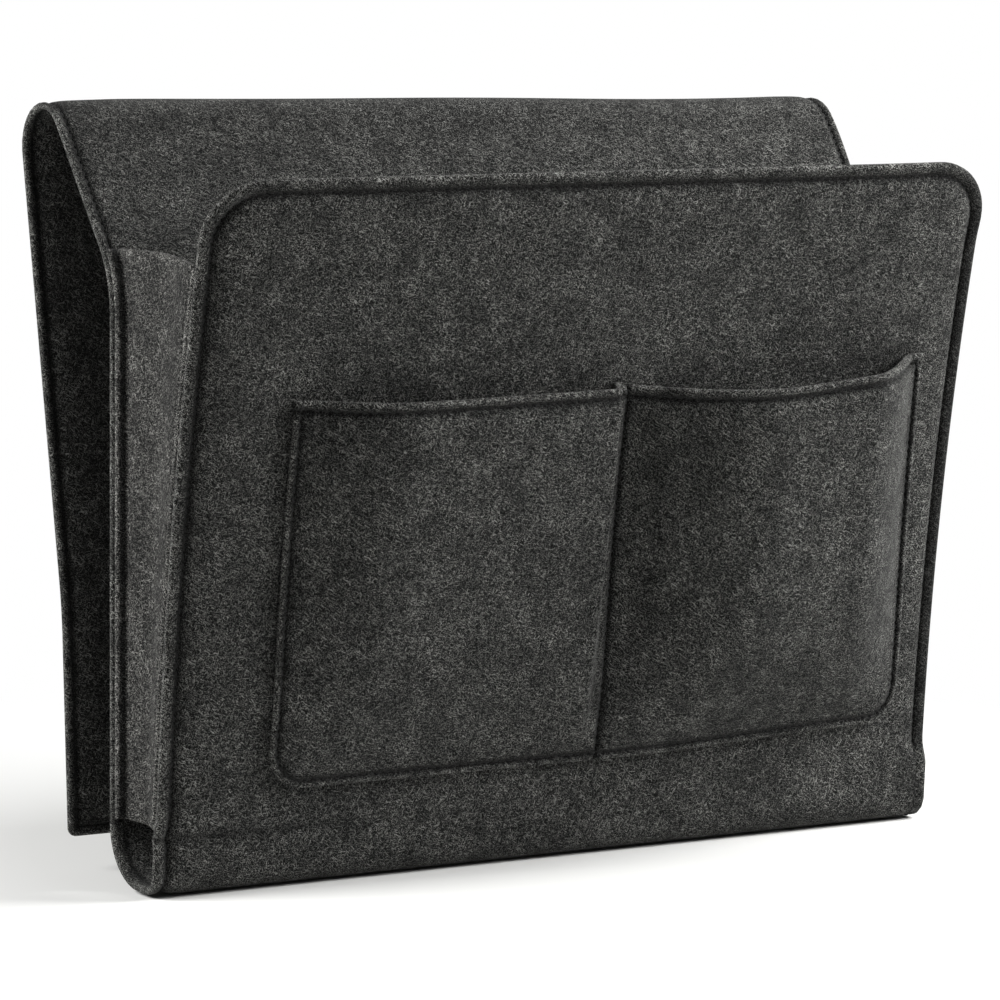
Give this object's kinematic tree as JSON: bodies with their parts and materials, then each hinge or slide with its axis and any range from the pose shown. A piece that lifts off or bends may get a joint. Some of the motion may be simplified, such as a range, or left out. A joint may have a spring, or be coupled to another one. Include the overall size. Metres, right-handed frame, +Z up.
{
  "type": "bedside caddy",
  "caption": "Hanging bedside caddy of thick charcoal felt with a deep main compartment, a divided patch pocket in front and a rear flap over an arched saddle.",
  "frame": {"origin": "top of the arch's underside, midway across, where the caddy hangs on a rail", "axes": "+X to the right of someone who faces the pocket, +Y to the rear, from the pocket to the flap, +Z up"},
  "size_m": [0.32, 0.14, 0.2631],
  "materials": {
    "felt": "melange wool felt",
    "gusset_felt": "melange wool felt",
    "thread": "matte sewing thread"
  },
  "bodies": {
    "pouch": {"back_panel": "felt", "back_seam_left": "thread", "back_seam_right": "thread", "bottom_fold": "felt", "bottom_stitch_left": "thread", "bottom_stitch_right": "thread", "saddle_fold": "felt", "saddle_stitch_left": "thread", "saddle_stitch_right": "thread", "left_gusset": "gusset_felt", "right_gusset": "gusset_felt"},
    "front": {"front_panel": "felt", "front_edge_stitch": "thread", "pocket_panel": "felt", "pocket_edge_stitch": "thread", "pocket_divider_stitch": "thread", "pocket_hem_stitch_left": "thread", "pocket_hem_stitch_right": "thread"},
    "flap": {"flap_panel": "felt", "flap_edge_stitch": "thread"}
  },
  "joints": [
    {"name": "front_fold", "type": "hinge", "parent": "pouch", "child": "front", "pos_m": [0, -0.08087, -0.23943], "axis": [1, 0, 0], "range_deg": [-14, 0], "deforming": ["left_gusset", "right_gusset"]},
    {"name": "flap_swing", "type": "hinge", "parent": "pouch", "child": "flap", "pos_m": [0, 0.0055, -0.001], "axis": [1, 0, 0], "range_deg": [-6, 90], "deforming": ["saddle_fold", "saddle_stitch_left", "saddle_stitch_right"]}
  ]
}
